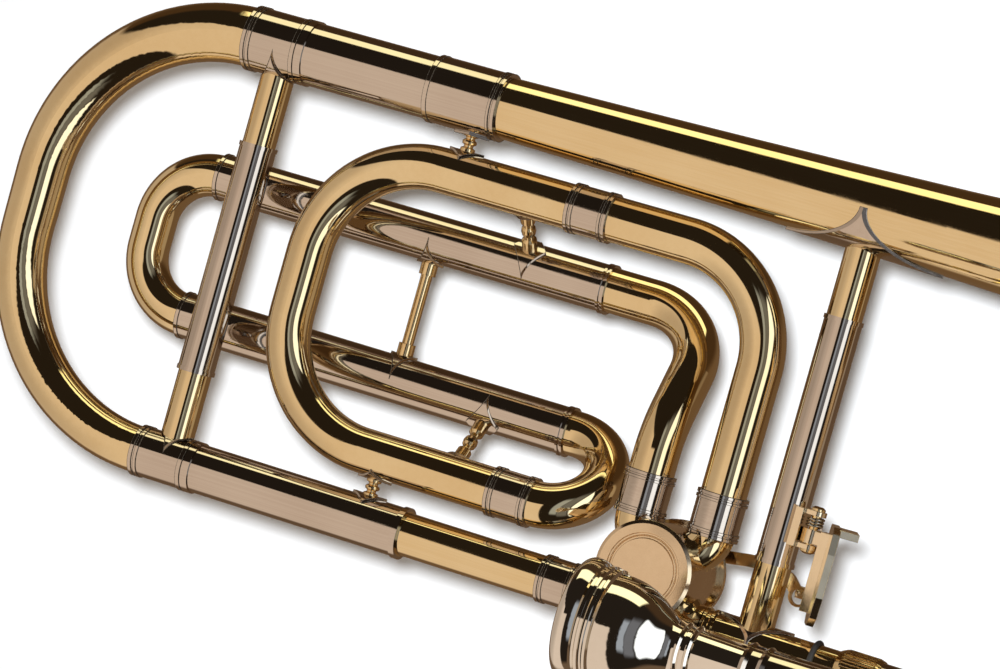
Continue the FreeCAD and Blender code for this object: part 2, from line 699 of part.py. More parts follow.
def make_bell_brace():
    """The grip: a nickel sleeve between two brass sockets, standing on kite-shaped flanges."""
    frame, length = strut_frame(0.0, (0.0, 0.0), (val("leg_gap"), 0.0))
    corners = [("26.6", "sleeve_bore"), ("108.4", "sleeve_bore"), ("108.4", "sleeve_radius + 0.3"),
               ("107", "sleeve_radius + 0.3"), ("107", "sleeve_radius"), ("28", "sleeve_radius"),
               ("28", "sleeve_radius + 0.3"), ("26.6", "sleeve_radius + 0.3")]
    node("bell_brace_sleeve", settle(turned(corners), frame, ACROSS))
    low = [("3", "0"), ("34", "0"), ("34", "sleeve_bore"), ("26.6", "sleeve_bore"), ("26.6", "socket_radius"),
           ("3", "socket_radius")]
    high = [("100", "0"), ("136", "0"), ("136", "socket_radius"), ("108.4", "socket_radius"),
            ("108.4", "sleeve_bore"), ("100", "sleeve_bore")]
    lower = strut_shaft(frame, length, low, "neck_radius", "neck_radius")
    skin = doc.addObject("Part::Feature", "BellClearance")
    skin.Shape = bell_skin(-40.0, 45.0, -8.0, val("flange_thick"), 12)
    skin.Placement = BELL_AXIS
    upper = cut(settle(turned(high), frame, ACROSS), skin)
    node("bell_brace_sockets", group([lower, upper]))
    low_kite = settle(wrapped_kite("neck_radius", "13", "6.7", 0.0, 1), frame)
    shell = doc.addObject("Part::Feature", "BellFlangeShell")
    shell.Shape = bell_skin(-40.0, 45.0, 0.0, val("flange_thick"), 12)
    shell.Placement = BELL_AXIS
    kite = plate([("27.5", "0.001"), ("0.001", "13.9"), ("0.001 - 27", "0.001"), ("0.001", "0.001 - 13.9")], "30")
    settle(kite, frame, Rotation(Vector(1, 0, 0), 90), 0.0, length)
    node("bell_brace_flanges", group([low_kite, common(shell, kite)]))


def make_neckpipe():
    """Neckpipe from the valve to the slide joint, with a double bead, and its rubber ring."""
    corners = [("0", "neck_radius - 0.5"), ("79", "neck_radius - 0.5"), ("79", "neck_radius"),
               ("4.6", "neck_radius"), ("4.2", "neck_radius + 0.9"), ("3.2", "neck_radius + 0.9"),
               ("2.8", "neck_radius + 0.4"), ("1.8", "neck_radius + 0.4"), ("1.4", "neck_radius + 0.9"),
               ("0.4", "neck_radius + 0.9"), ("0", "neck_radius + 0.2")]
    node("neckpipe", place(turned(corners), ALONG_Z, val("neck_start")))
    ring = doc.addObject("Part::Torus", "RubberRing")
    ring.setExpression("Radius1", size("neck_radius + 0.4"))
    ring.Radius2 = 0.9
    bulk = place(ring, ALONG_X, 21.6)
    bore = place(rod("neck_radius", "20"), ALONG_X, 12.0)
    node("neckpipe_rubber_ring", cut(bulk, bore))


def make_lock_nut():
    """The knurled nut that pulls the hand slide on to the neckpipe; it spins on the neckpipe."""
    corners = [("0", "neck_radius + 0.1"), ("9.6", "neck_radius + 0.1"), ("9.6", "neck_radius + 0.6"),
               ("14.6", "neck_radius + 0.6"), ("14.6", "neck_radius + 0.9"), ("13.8", "neck_radius + 1.2"),
               ("12.6", "neck_radius + 1.5"), ("2.6", "neck_radius + 1.5"), ("1.6", "neck_radius + 1.2"),
               ("0", "neck_radius + 0.4")]
    body = turned(corners)
    grooves = []
    count = 40
    for index in range(count):
        groove = place(block("11", "0.5", "0.5"), ALONG_Z)
        turn = Rotation(Vector(1, 0, 0), 360.0 * index / count)
        edge = Placement(Vector(2.0, -0.25, val("neck_radius") + 1.1), Rotation())
        groove.Placement = Placement(Vector(0, 0, 0), turn).multiply(edge)
        grooves.append(groove)
    node("lock_nut", place(cut(body, fuse(grooves)), ALONG_Z, 29.6))


# ---------------------------------------------------------------- trigger

def side_plate(outline, width):
    """A plate drawn in the XZ plane and padded towards +Y."""
    body = plate(outline, width, "XZ_Plane")
    return body


def make_trigger():
    """Bracket and axle on the bell brace, and the sprung thumb lever that swings on them."""
    x, z = val("axle_x"), val("axle_z")
    sleeve = place(rod("sleeve_radius", "120"), ALONG_Y)
    base = place(block("2.6", "12.6", "11"), ALONG_Z, 4.4, 34.6, -2.0)
    ears = []
    for y in (34.6, 45.6):
        ear = place(block("6", "1.6", "6"), ALONG_Z, 4.4, y, z - 3.0)
        cheek = place(rod("3", "1.6"), ALONG_Y, x, y, z)
        ears += [ear, cheek]
    axle_hole = place(rod("axle_radius", "30"), ALONG_Y, x, 28.0, z)
    node("trigger_bracket", cut(fuse([base] + ears), fuse([sleeve, axle_hole])))
    corners = [("0", "0"), ("15.4", "0"), ("15.4", "1.4"), ("14.8", "2.3"), ("14", "2.3"), ("14", "axle_radius"),
               ("1.4", "axle_radius"), ("1.4", "2.5"), ("0.6", "2.5"), ("0", "1.4")]
    node("trigger_axle", place(turned(corners), ACROSS, x, 33.2, z))

    barrel = place(rod("barrel_radius", "4.6"), ALONG_Y, x, 36.6, z)
    arm = place(block("8", "4.2", "4.4"), ALONG_Z, x, 36.8, z - 1.4)
    rail = place(block("3.2", "26", "5.4"), ALONG_Z, 13.9, 15.4, z - 2.4)
    swing = math.radians(val("trigger_half_swing"))
    ball_x = x - val("ball_reach") * math.sin(swing)
    level = val("link_level")
    tail = [("17.1", "axle_z + 3"), ("17.1", "axle_z - 2.4"), (str(ball_x + 6.0), str(level - 4.8)),
            (str(ball_x + 2.0), str(level - 4.8)), (str(ball_x - 2.0), str(level - 3.8)),
            (str(ball_x - 2.0), str(level - 2.2)), (str(ball_x + 1.4), str(level - 2.2)),
            (str(ball_x + 4.4), str(level - 2.8)), ("13.9", "axle_z - 2.4"), ("13.9", "axle_z + 3")]
    hook = side_plate(tail, "4")
    place(hook, ALONG_Z, 0, val("ball_y") + 2.0)
    stud = place(rod("0.8", "5"), ALONG_Z, ball_x, val("ball_y"), level - 3.0)
    knob = doc.addObject("Part::Sphere", "Knob")
    knob.Radius = 1.1
    place(knob, ALONG_Z, ball_x, val("ball_y"), level + 2.2)
    lever = cut(fuse([barrel, arm, rail, hook, stud, knob]), place(rod("barrel_bore", "30"), ALONG_Y, x, 28.0, z))
    node("trigger_lever", lever)

    lean = Placement(Vector(18.5, 0, z), Rotation(Vector(0, 1, 0), 19.0))
    outline = [("0.001 - 4", "14"), ("0.001 - 1", "12"), ("8", "12"), ("14", "15"), ("17", "22"), ("17", "36"),
               ("15", "42.6"), ("12", "44.6"), ("0.001 - 3", "44.6"), ("0.001 - 5", "42"), ("0.001 - 5", "18")]
    slab = plate(outline, "2.4")
    slab.Placement = lean.multiply(Placement(Vector(0, 0, 0), Rotation(Vector(0, 1, 0), -90)))
    ledge = block("6.4", "2.4", "15")
    ledge.Placement = lean.multiply(Placement(Vector(-0.4, 41.8, -2.0), Rotation()))
    paddle = fuse([slab, ledge])
    node("thumb_paddle", cut(paddle, lever))

    coil = doc.addObject("Part::Feature", "Spring")
    wire = Part.makeHelix(1.0, 3.4, 2.5)
    ring = Part.Wire([Part.makeCircle(0.4, Vector(2.5, 0, 0), Vector(0, 1, 0))])
    coil.Shape = wire.makePipeShell([ring], True, True)
    coil.Placement = Placement(Vector(x, 41.7, z), ALONG_Y)
    node("trigger_return_spring", coil)


def make_link():
    """The curved bar from the trigger's ball to the pin on the rotor's stop arm."""
    swing = math.radians(val("trigger_half_swing"))
    ball_x = val("axle_x") - val("ball_reach") * math.sin(swing)
    pin = Vector(*valve_point(135.0, val("stop_arm"), val("link_level") - val("link_thick") / 2.0))
    rise = val("stop_arm") * (1.0 - math.cos(math.radians(45.0)))
    ball = Vector(ball_x, val("ball_y") - rise / 2.0, pin.z)
    line = route([pin, Vector(-12.0, 24.0, pin.z), Vector(-0.5, 21.9, pin.z), ball], [24.0, 3.5])
    bar = line.makeOffset2D(2.1, 0, True, False)
    body = bar.extrude(Vector(0, 0, val("link_thick")))
    for centre, radius in ((pin, 2.9), (ball, 3.4)):
        body = body.fuse(Part.makeCylinder(radius, val("link_thick"), centre))
    for centre, radius in ((pin, 1.27), (ball, 2.5)):
        body = body.cut(Part.makeCylinder(radius, 6.0, centre - Vector(0, 0, 2)))
    link = doc.addObject("Part::Feature", "Link")
    link.Shape = body.removeSplitter()
    node("valve_link", link)


# ---------------------------------------------------------------- tuning slides

def make_main_tuning_slide():
    """The bow behind the player's shoulder, its ferrules, inner tubes and brace."""
    start = val("bow_start")
    gap = val("leg_gap")
    turn = val("bow_turn")
    seat = start + 4.0
    bow = bent_tube([(seat, 0, 0), (start - turn, 0, 0), (start - turn, gap, 0), (seat, gap, 0)], [turn, turn],
                    "bow_lower_tube", "bow_lower_tube - bow_wall", "bow_upper_tube", "bow_upper_tube - bow_wall")
    node("main_tuning_bow", bow)
    ferrules = []
    for y, outer, inner in ((0.0, "bow_lower_tube", "lower_inner"), (gap, "bow_upper_tube", "upper_inner")):
        corners = [("0", outer + " + 0.05"), ("4", outer + " + 0.05"), ("4", inner), ("19.6", inner)]
        face = outer + " + 0.6"
        crest = outer + " + 0.9"
        corners += [("19.6", crest), ("18.2", crest), ("18.2", face), ("3", face), ("3", crest), ("2", crest),
                    ("2", face), ("1.2", face), ("1.2", crest), ("0", crest)]
        ferrules.append(place(turned(corners), ALONG_Z, start, y))
    node("main_tuning_ferrules", group(ferrules))
    inners = []
    for y, outer, bore, end in ((0.0, "lower_inner", "lower_inner_bore", -133.0),
                                (gap, "upper_inner", "upper_inner_bore", -147.0)):
        inners.append(place(tube(outer, bore, str(end - seat)), ALONG_X, seat, y))
    node("main_tuning_inner_tubes", group(inners))
    frame, length = strut_frame(val("tuning_brace_at"), (0.0, 0.0), (gap, 0.0))
    corners = [("30.6", "sleeve_bore"), ("109.8", "sleeve_bore"), ("109.8", "sleeve_radius + 0.3"),
               ("108.4", "sleeve_radius + 0.3"), ("108.4", "sleeve_radius"), ("32", "sleeve_radius"),
               ("32", "sleeve_radius + 0.3"), ("30.6", "sleeve_radius + 0.3")]
    node("tuning_brace_sleeve", settle(turned(corners), frame, ACROSS))
    low = [("4", "0"), ("38", "0"), ("38", "sleeve_bore"), ("30.6", "sleeve_bore"), ("30.6", "5.7"), ("4", "5.7")]
    high = [("102", "0"), ("138", "0"), ("138", "5.7"), ("109.8", "5.7"), ("109.8", "sleeve_bore"),
            ("102", "sleeve_bore")]
    foot, head = "bow_lower_tube + 0.6", "bow_upper_tube + 0.6"
    sockets = [strut_shaft(frame, length, low, foot, head), strut_shaft(frame, length, high, foot, head)]
    node("tuning_brace_sockets", group(sockets))
    flanges = strut_flanges(frame, length, (foot, "6", "8.2"), (head, "6", "10.6"))
    node("tuning_brace_flanges", group(flanges))


def make_f_tuning_slide():
    """The small bow that tunes the F attachment, with its ferrules and inner tubes."""
    start = val("f_bow_start")
    depth = val("f_depth")
    low, high = val("f_lower"), val("f_upper")
    turn = val("f_bow_turn")
    seat = start + 3.0
    bow = bent_tube([(seat, low, depth), (start - turn, low, depth), (start - turn, high, depth), (seat, high, depth)],
                    [turn, turn], "f_inner", "f_inner - bow_wall")
    node("f_tuning_bow", bow)
    ferrules = []
    inners = []
    for y in (low, high):
        corners = [("0", "f_inner + 0.02"), ("10.6", "f_inner + 0.02"), ("10.6", "f_inner + 0.9"),
                   ("9.4", "f_inner + 0.9"), ("9.4", "f_inner + 0.6"), ("1.2", "f_inner + 0.6"),
                   ("1.2", "f_inner + 0.9"), ("0", "f_inner + 0.9")]
        ferrules.append(place(turned(corners), ALONG_Z, start, y, depth))
        inners.append(place(tube("f_inner", "f_inner_bore", "99"), ALONG_X, seat, y, depth))
    node("f_tuning_ferrules", group(ferrules))
    node("f_tuning_inner_tubes", group(inners))


# ---------------------------------------------------------------- hand slide

def make_slide_inner():
    """The half of the hand slide that stays with the bell: receivers, inner tubes, barrels, brace."""
    gap = val("slide_gap")
    corners = [("0", "neck_radius + 0.03"), ("23", "neck_radius + 0.03"), ("23", "inner_radius - 0.4"),
               ("36", "inner_radius - 0.4"), ("36", "inner_radius"), ("52", "inner_radius"), ("52", "8.9"),
               ("50", "9.6"), ("48", "8.9"), ("23", "8.9"), ("21.6", "9.6"), ("20", "9.6"), ("18.6", "8.9"),
               ("17", "neck_radius + 0.55"), ("0", "neck_radius + 0.55")]
    node("slide_receiver", place(turned(corners), ALONG_Z, 40.0))
    mouth = val("receiver_start")
    corners = [("0", "7.21"), ("26.5", "6.24"), ("53", "6.6"), ("53", "inner_radius"), ("67", "inner_radius"),
               ("67", "8.9"), ("65", "9.6"), ("63", "8.9"), ("8", "8.5"), ("6.6", "9.2"), ("5.4", "8.5"),
               ("2.4", "8.5"), ("1.2", "9.2"), ("0", "8.6")]
    node("mouthpiece_receiver", place(turned(corners), ALONG_Z, mouth, 0, gap))
    inners = []
    barrels = []
    corks = []
    start = val("inner_start")
    length = val("inner_end") - start
    for z in (0.0, gap):
        corners = [("0", "inner_bore"), (str(length), "inner_bore"), (str(length), "stocking_radius"),
                   (str(length - 118.0), "stocking_radius"), (str(length - 120.0), "inner_radius"),
                   ("0", "inner_radius")]
        inners.append(place(turned(corners), ALONG_Z, start, 0, z))
        corners = [("0", "inner_radius"), ("6", "inner_radius"), ("6", "8.6"), ("66", "8.6"), ("66", "9.4"),
                   ("65", "10"), ("62", "10"), ("61", "9.5"), ("4", "9.5"), ("3", "10"), ("1", "10"), ("0", "9.4")]
        barrels.append(place(turned(corners), ALONG_Z, val("barrel_start"), 0, z))
        corks.append(place(tube("8.4", "inner_radius", "6"), ALONG_X, val("barrel_start") + 6.0, 0, z))
    node("inner_slide_tubes", group(inners))
    node("cork_barrels", group(barrels))
    node("slide_corks", group(corks))
    node("inner_slide_brace", slide_brace(80.0, "8.9", 4.2))


def slide_brace(x, tube_radius, shaft_radius):
    """A straight stay between the two legs of the hand slide."""
    frame, length = strut_frame(x, (0.0, 0.0), (0.0, val("slide_gap")))
    grip = shaft_radius + 0.9
    inset = 22.0
    corners = [("5", "0"), (str(length - 5.0), "0"), (str(length - 5.0), str(grip)),
               (str(length - inset), str(grip)), (str(length - inset), str(shaft_radius)),
               (str(inset), str(shaft_radius)), (str(inset), str(grip)), ("5", str(grip))]
    shaft = strut_shaft(frame, length, corners, tube_radius, tube_radius)
    flanges = strut_flanges(frame, length, (tube_radius, "7.5", "7.5"), (tube_radius, "7.5", "7.5"))
    return fuse([shaft] + flanges)


def make_slide_outer():
    """The half of the hand slide that travels: outer tubes, collars, brace, bow and bumper."""
    gap = val("slide_gap")
    start, end = val("outer_start"), val("outer_end")
    outers = []
    collars = []
    joins = []
    for z in (0.0, gap):
        outers.append(place(tube("outer_radius", "outer_bore", str(end - start)), ALONG_X, start, 0, z))
        corners = [("0", "outer_radius"), ("34", "outer_radius"), ("34", "9"), ("33", "9.5"), ("31", "9.5"),
                   ("30", "8.9"), ("4", "8.9"), ("3", "9.5"), ("1", "9.5"), ("0", "9")]
        collars.append(place(turned(corners), ALONG_Z, 172.0, 0, z))
        corners = [("0", "outer_radius"), ("10", "outer_radius"), ("10", "slide_bow_tube"), ("20", "slide_bow_tube"),
                   ("20", "9.2"), ("18.8", "9.2"), ("18.8", "8.7"), ("1.2", "8.7"), ("1.2", "9.2"), ("0", "9.2")]
        joins.append(place(turned(corners), ALONG_Z, end - 10.0, 0, z))
    node("outer_slide_tubes", group(outers))
    node("outer_slide_collars", group(collars))
    node("outer_slide_brace", slide_brace(189.0, "8.9", 4.6))
    turn = gap / 2.0 - 0.02
    bow_seat = end + 0.1
    straight = end + 14.0
    bow = bent_tube([(bow_seat, 0, 0), (straight + turn, 0, 0), (straight + turn, 0, gap), (bow_seat, 0, gap)],
                    [turn, turn], "slide_bow_tube", "slide_bow_tube - tube_wall")
    node("slide_bow", bow)
    crown = straight + turn + val("slide_bow_tube")
    corners = [("0.001 - 7", "0"), ("8", "0"), ("8", "5"), ("6.6", "5.4"), ("0.001 - 7", "5.4")]
    holder = place(turned(corners), ALONG_Z, crown, 0, gap / 2.0)
    solid_bow = sweep(spine([Vector(straight, 0, 0), Vector(straight + turn, 0, 0), Vector(straight + turn, 0, gap),
                             Vector(straight, 0, gap)], [turn, turn]), "slide_bow_tube")
    node("slide_bow_fittings", group(joins + [cut(holder, solid_bow)]))
    corners = [("0", "0"), ("8", "0"), ("8", "5.4"), ("6.6", "6.6"), ("1", "6.6"), ("0", "6")]
    node("slide_bumper", place(turned(corners), ALONG_Z, crown + 8.0, 0, gap / 2.0))


def make_slide_lock():
    """The turning ring at the lower barrel's end that locks the hand slide shut."""
    corners = [("0", "8.8"), ("7", "8.8"), ("7", "10"), ("6.2", "10.6"), ("0.8", "10.6"), ("0", "10")]
    ring = turned(corners)
    tab = place(block("5", "4", "3"), ALONG_Z, 1, -2, 9.8)
    node("slide_lock_ring", place(fuse([ring, tab]), ALONG_Z, 158.5))


def make_water_key():
    """Spit valve near the bow: nipple and saddle, pivot pin, sprung lever and its cork."""
    x = 738.0
    leg = place(rod("outer_radius", "80"), ALONG_X, 690.0)
    nipple = place(rod("3.6", "11.4"), ALONG_Z, x, 0, -11.4)
    hole = place(rod("1.8", "8"), ALONG_Z, x, 0, -13)
    saddle = place(block("12", "9", "7"), ALONG_Z, x - 24.0, -4.5, -13.6)
    slot = place(block("16", "5.4", "5.8"), ALONG_Z, x - 26.0, -2.7, -15.2)
    pin_hole = place(rod("0.9", "20"), ALONG_Y, x - 18.0, -10, -12.0)
    pin = place(rod("0.9", "10.4"), ALONG_Y, x - 18.0, -5.2, -12.0)
    node("water_key_saddle", group([cut(fuse([nipple, saddle]), fuse([leg, hole, slot, pin_hole])), pin]))
    barrel = place(rod("2.3", "4.8"), ALONG_Y, x - 18.0, -2.4, -12.0)
    bar = side_plate([("5", "0.001 - 16.4"), ("0.001 - 18", "0.001 - 14.3"), ("0.001 - 38", "0.001 - 17.2"),
                      ("0.001 - 38", "0.001 - 15.4"), ("0.001 - 18", "0.001 - 12.2"), ("5", "0.001 - 14.2")], "4.4")
    place(bar, ALONG_Z, x, 2.2)
    cup = place(rod("4.2", "2.4"), ALONG_Z, x, 0, -15.6)
    lever = cut(fuse([barrel, bar, cup]), fuse([place(rod("0.96", "20"), ALONG_Y, x - 18.0, -10, -12.0),
                                               place(rod("3.5", "2"), ALONG_Z, x, 0, -13.6)]))
    node("water_key_lever", lever)
    node("water_key_cork", place(rod("3.5", "2"), ALONG_Z, x, 0, -13.6))


def make_mouthpiece():
    """Large-shank mouthpiece: rim, bowl, two beads and a tapered shank."""
    outside = [(0.0, 16.8), (0.5, 18.4), (2.0, 19.2), (4.5, 19.1), (6.4, 18.5), (7.0, 17.8), (7.7, 17.8),
               (8.2, 18.3), (9.2, 18.3), (9.7, 17.6), (10.3, 17.6), (10.8, 18.0), (11.6, 17.9), (12.2, 16.9)]
    bowl = [(12.2, 16.9), (17.0, 16.6), (22.0, 15.3), (27.0, 12.7), (31.0, 9.8), (34.0, 8.2), (35.6, 7.9)]
    beads = [(36.0, 8.5), (36.7, 9.0), (37.4, 8.5), (37.8, 7.9), (39.0, 7.9), (39.4, 8.5), (40.1, 9.0),
             (40.8, 8.5), (41.2, 7.72)]
    length = val("shank_tip") - val("mouthpiece_at")
    inside = [(length, 6.2), (length, 5.2), (29.5, 3.3), (27.5, 3.3)]
    cup = [(27.5, 3.3), (25.0, 5.0), (20.0, 8.4), (14.0, 10.9), (8.0, 12.3), (3.0, 12.8)]
    rim = [(3.0, 12.8), (1.0, 13.6), (0.2, 15.0), (0.0, 16.8)]

    def curve(points):
        line = Part.BSplineCurve()
        line.interpolate([Vector(a, b, 0) for a, b in points])
        return [line.toShape()]

    def straight(points):
        return [Part.makeLine(Vector(*points[i], 0), Vector(*points[i + 1], 0)) for i in range(len(points) - 1)]

    edges = straight(outside[6:]) + curve(outside[:5]) + straight(outside[4:7]) + curve(bowl)
    edges += straight([bowl[-1]] + beads + [inside[0]]) + straight(inside) + curve(cup) + curve(rim)
    face = Part.Face(Part.Wire(Part.__sortEdges__(edges)))
    mouthpiece = doc.addObject("Part::Feature", "Mouthpiece")
    mouthpiece.Shape = face.revolve(Vector(0, 0, 0), Vector(1, 0, 0), 360)
    mouthpiece.Placement = Placement(Vector(val("mouthpiece_at"), 0, val("slide_gap")), Rotation())
    node("mouthpiece", mouthpiece)


for make in (make_bell, make_main_leg_ferrules, make_main_outer_tubes, make_gooseneck, make_valve_casing,
             make_knuckles, make_valve_ends, make_rotor, make_f_loop, make_posts, make_bell_brace,
             make_neckpipe, make_lock_nut, make_trigger, make_link, make_main_tuning_slide, make_f_tuning_slide,
             make_slide_inner, make_slide_outer, make_slide_lock, make_water_key, make_mouthpiece):
    make()

doc.recompute()

faults = []
for thing in doc.Objects:
    if "Invalid" in thing.State or "Error" in thing.State:
        faults.append("%s (%s) failed: %s" % (thing.Name, thing.Label, thing.State))
for name, thing in NODES.items():
    if thing.Shape.isNull() or not thing.Shape.isValid() or not thing.Shape.Solids:
        faults.append("%s has no valid solid" % name)
if faults:
    raise RuntimeError("; ".join(faults))

os.makedirs("parts", exist_ok=True)
for name, thing in NODES.items():
    thing.Shape.exportStep("parts/%s.step" % name)
    box = thing.Shape.BoundBox
    print("%-26s %2d solids %10.1f mm3  X %.1f..%.1f  Y %.1f..%.1f  Z %.1f..%.1f" % (
        name, len(thing.Shape.Solids), thing.Shape.Volume, box.XMin, box.XMax, box.YMin, box.YMax, box.ZMin, box.ZMax))
print(len(NODES), "nodes")
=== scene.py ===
"""Looks for the trombone: materials, small trim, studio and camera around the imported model."""

import bmesh
import bpy
from mathutils import Matrix, Vector


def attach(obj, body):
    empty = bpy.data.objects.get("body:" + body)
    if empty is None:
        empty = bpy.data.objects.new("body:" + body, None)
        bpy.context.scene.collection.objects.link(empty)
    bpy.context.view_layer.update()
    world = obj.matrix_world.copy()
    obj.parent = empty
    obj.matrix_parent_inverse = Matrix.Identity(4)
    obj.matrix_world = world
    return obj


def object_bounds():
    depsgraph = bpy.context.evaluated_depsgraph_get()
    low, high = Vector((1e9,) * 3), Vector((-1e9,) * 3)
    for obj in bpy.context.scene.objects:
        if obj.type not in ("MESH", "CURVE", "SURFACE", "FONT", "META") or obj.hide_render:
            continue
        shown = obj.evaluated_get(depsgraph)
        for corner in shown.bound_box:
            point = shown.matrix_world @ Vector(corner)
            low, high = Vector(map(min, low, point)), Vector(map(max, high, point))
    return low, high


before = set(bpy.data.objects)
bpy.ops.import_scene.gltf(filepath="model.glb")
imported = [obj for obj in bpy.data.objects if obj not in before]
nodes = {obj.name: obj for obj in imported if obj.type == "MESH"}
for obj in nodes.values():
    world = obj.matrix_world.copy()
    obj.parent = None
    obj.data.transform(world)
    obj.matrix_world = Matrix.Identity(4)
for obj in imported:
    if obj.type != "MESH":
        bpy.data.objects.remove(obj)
cad_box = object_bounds()


# ---------------------------------------------------------------- shader helpers

class Graph:
    """A short way to write a shader tree: each call adds one node and gives back its output."""

    def __init__(self, owner):
        owner.use_nodes = True
        self.tree = owner.node_tree
        self.tree.nodes.clear()

    def add(self, kind, **settings):
        made = self.tree.nodes.new(kind)
        for key, value in settings.items():
            setattr(made, key, value)
        return made

    def feed(self, socket, value):
        if isinstance(value, bpy.types.NodeSocket):
            self.tree.links.new(value, socket)
        elif value is not None:
            socket.default_value = value

    def math(self, operation, *values):
        made = self.add("ShaderNodeMath", operation=operation)
        for socket, value in zip(made.inputs, values):
            self.feed(socket, value)
        return made.outputs[0]

    def ramp(self, value, low, high, out_low=0.0, out_high=1.0, smooth=True):
        made = self.add("ShaderNodeMapRange", interpolation_type="SMOOTHSTEP" if smooth else "LINEAR")
        for socket, number in zip(made.inputs, (value, low, high, out_low, out_high)):
            self.feed(socket, number)
        return made.outputs[0]

    def mix(self, factor, first, second):
        made = self.add("ShaderNodeMix", data_type="RGBA")
        self.feed(made.inputs[0], factor)
        self.feed(made.inputs[6], first)
        self.feed(made.inputs[7], second)
        return made.outputs[2]

    def stretched(self, vector, scale):
        made = self.add("ShaderNodeMapping")
        self.feed(made.inputs["Vector"], vector)
        made.inputs["Scale"].default_value = scale
        return made.outputs[0]

    def noise(self, vector, scale, detail=3.0, rough=0.55):
        made = self.add("ShaderNodeTexNoise")
        self.feed(made.inputs["Vector"], vector)
        made.inputs["Scale"].default_value = scale
        made.inputs["Detail"].default_value = detail
        made.inputs["Roughness"].default_value = rough
        return made.outputs[0]

    def bump(self, height, strength, distance=0.0001):
        made = self.add("ShaderNodeBump")
        made.inputs["Strength"].default_value = strength
        made.inputs["Distance"].default_value = distance
        self.feed(made.inputs["Height"], height)
        return made

    def surface(self, colour, roughness, normal=None, fixed=()):
        """A Principled shader on the material's output; fixed values go on the shader's own sockets."""
        shader = self.add("ShaderNodeBsdfPrincipled")
        for socket, value in fixed:
            shader.inputs[socket].default_value = value
        self.feed(shader.inputs["Base Color"], colour)
        self.feed(shader.inputs["Roughness"], roughness)
        self.feed(shader.inputs["Normal"], normal)
        out = self.add("ShaderNodeOutputMaterial")
        self.feed(out.inputs[0], shader.outputs[0])


def rgb(red, green, blue):
    return (red, green, blue, 1.0)


def new_material(name):
    """An empty material, its graph, and the coordinates that its patterns run in."""
    material = bpy.data.materials.new(name)
    g = Graph(material)
    return material, g, g.add("ShaderNodeTexCoord").outputs["Object"]


# ---------------------------------------------------------------- materials

# how far the polishing lines are drawn out along each axis, in lines per metre
ALONG_X = (6.0, 1500.0, 1500.0)
ALONG_Y = (1500.0, 6.0, 1500.0)
ROUND = (420.0, 420.0, 420.0)


def metal(name, light, dark, gloss, lines=ROUND, line_depth=0.05, line_tone=0.35, coat=0.0, edge=0.0):
    """Polished or satin metal: tone drifts slowly, polishing lines run one way, gloss varies in patches."""
    material, g, where = new_material(name)
    drift = g.noise(where, 26.0, 2.0)
    streak = g.noise(g.stretched(where, lines), 1.0, 4.0, 0.65)
    smear = g.noise(where, 140.0, 3.0)
    drift_tone = g.ramp(drift, 0.3, 0.7, 0.0, 1.0 - line_tone)
    tone = g.math("ADD", drift_tone, g.ramp(streak, 0.35, 0.65, 0.0, line_tone))
    low, high = gloss
    line_gloss = g.ramp(streak, 0.4, 0.7, 0.0, (high - low) * 0.6)
    patch = g.math("ADD", g.ramp(smear, 0.35, 0.7, low, high), line_gloss)
    bump = g.bump(streak, line_depth)
    if edge:
        soft = g.add("ShaderNodeBevel", samples=4)
        soft.inputs["Radius"].default_value = edge
        g.feed(bump.inputs["Normal"], soft.outputs[0])
    fixed = (("Metallic", 1.0), ("Coat Weight", coat), ("Coat Roughness", 0.03))
    g.surface(g.mix(tone, dark, light), patch, bump.outputs[0], fixed)
    return material


def rubber(name):
    """Black rubber: fine grain, with a faint grey bloom in patches."""
    material, g, where = new_material(name)
    grain = g.noise(where, 2600.0, 4.0)
    bloom = g.ramp(g.noise(where, 90.0, 3.0), 0.35, 0.7)
    colour = g.mix(bloom, rgb(0.012, 0.012, 0.013), rgb(0.035, 0.034, 0.033))
    g.surface(colour, g.ramp(grain, 0.3, 0.7, 0.38, 0.6), g.bump(grain, 0.25).outputs[0])
    return material


def cork(name):
    """Pressed cork: cells with dark flecks between them."""
    material, g, where = new_material(name)
    cells = g.add("ShaderNodeTexVoronoi")
    g.feed(cells.inputs["Vector"], where)
    cells.inputs["Scale"].default_value = 1400.0
    flecks = g.ramp(g.noise(where, 900.0, 4.0), 0.35, 0.6)
    tone = g.math("MULTIPLY", flecks, g.ramp(cells.outputs["Distance"], 0.1, 0.6, 0.7, 1.0))
    colour = g.mix(tone, rgb(0.16, 0.07, 0.025), rgb(0.52, 0.31, 0.15))
    g.surface(colour, 0.8, g.bump(tone, 0.5, 0.0002).outputs[0])
    return material


def solder(name):
    """Solder, kept dark and dull as painted shade along each fitted edge, with brighter specks."""
    material, g, where = new_material(name)
    specks = g.noise(where, 1600.0, 3.0)
    # painted shade: the solder is darkened to stand for the shade along the fitted edges
    colour = g.mix(g.ramp(specks, 0.4, 0.7), rgb(0.10, 0.08, 0.06), rgb(0.34, 0.30, 0.25))
    g.surface(colour, g.ramp(specks, 0.3, 0.7, 0.3, 0.5), fixed=(("Metallic", 0.8),))
    return material


BRASS_LIGHT = rgb(0.95, 0.80, 0.50)
BRASS_DARK = rgb(0.88, 0.70, 0.40)
NICKEL_LIGHT = rgb(0.72, 0.66, 0.60)
NICKEL_DARK = rgb(0.63, 0.56, 0.50)

BRASS = (BRASS_LIGHT, BRASS_DARK)
NICKEL = (NICKEL_LIGHT, NICKEL_DARK)
POLISHED = (0.03, 0.07)

